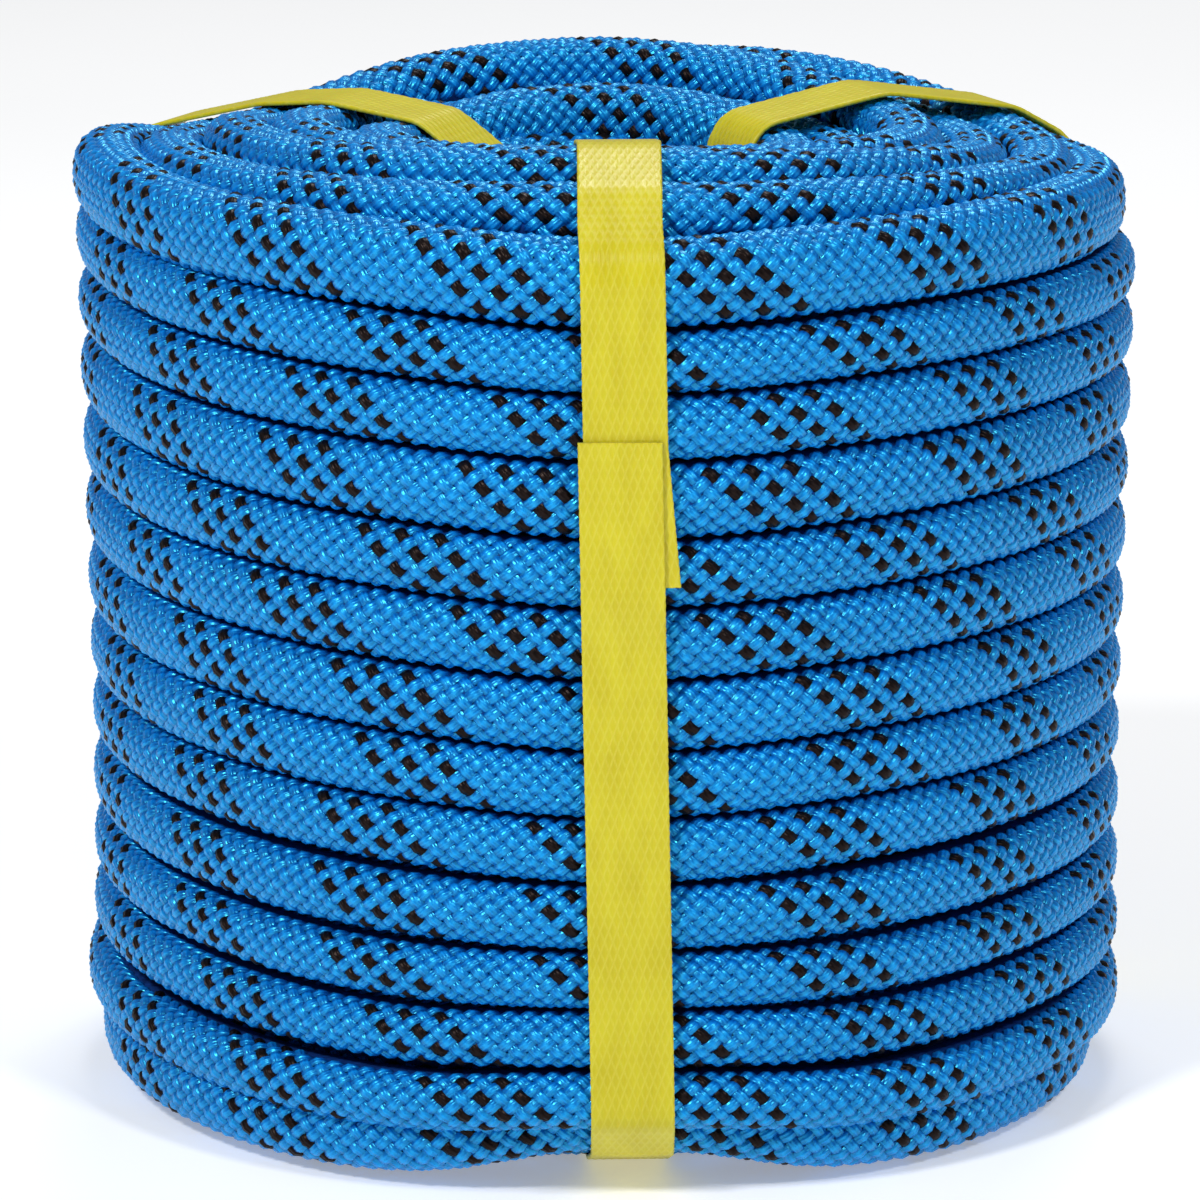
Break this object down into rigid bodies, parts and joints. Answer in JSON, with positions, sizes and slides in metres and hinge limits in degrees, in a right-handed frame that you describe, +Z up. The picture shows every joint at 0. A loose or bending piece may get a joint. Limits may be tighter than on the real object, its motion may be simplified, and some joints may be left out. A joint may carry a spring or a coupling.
{
  "type": "dynamic climbing rope",
  "caption": "Kernmantle dynamic climbing rope wound into a hollow drum-shaped coil and held by welded plastic packing straps.",
  "frame": {"origin": "on the coil's axis, at the height of the surface that the coil stands on", "axes": "+Z up along the coil's axis, -Y towards the front strap, +X to the right seen from the front"},
  "size_m": [0.1552, 0.1562, 0.1497],
  "materials": {
    "rope_sheath": "satin",
    "rope_tracer": "satin",
    "rope_core": "matte",
    "packing_strap": "satin",
    "end_sleeve": "satin"
  },
  "bodies": {
    "root": {"coil_right": "rope_sheath", "coil_back": "rope_sheath", "coil_left": "rope_sheath", "strap_front": "packing_strap", "strap_back_left": "packing_strap", "strap_back_right": "packing_strap", "inner_end_sheath": "rope_sheath", "inner_end_core": "rope_core", "inner_end_sleeve": "end_sleeve", "outer_end_sheath": "rope_sheath", "outer_end_core": "rope_core", "outer_end_sleeve": "end_sleeve"}
  },
  "joints": []
}
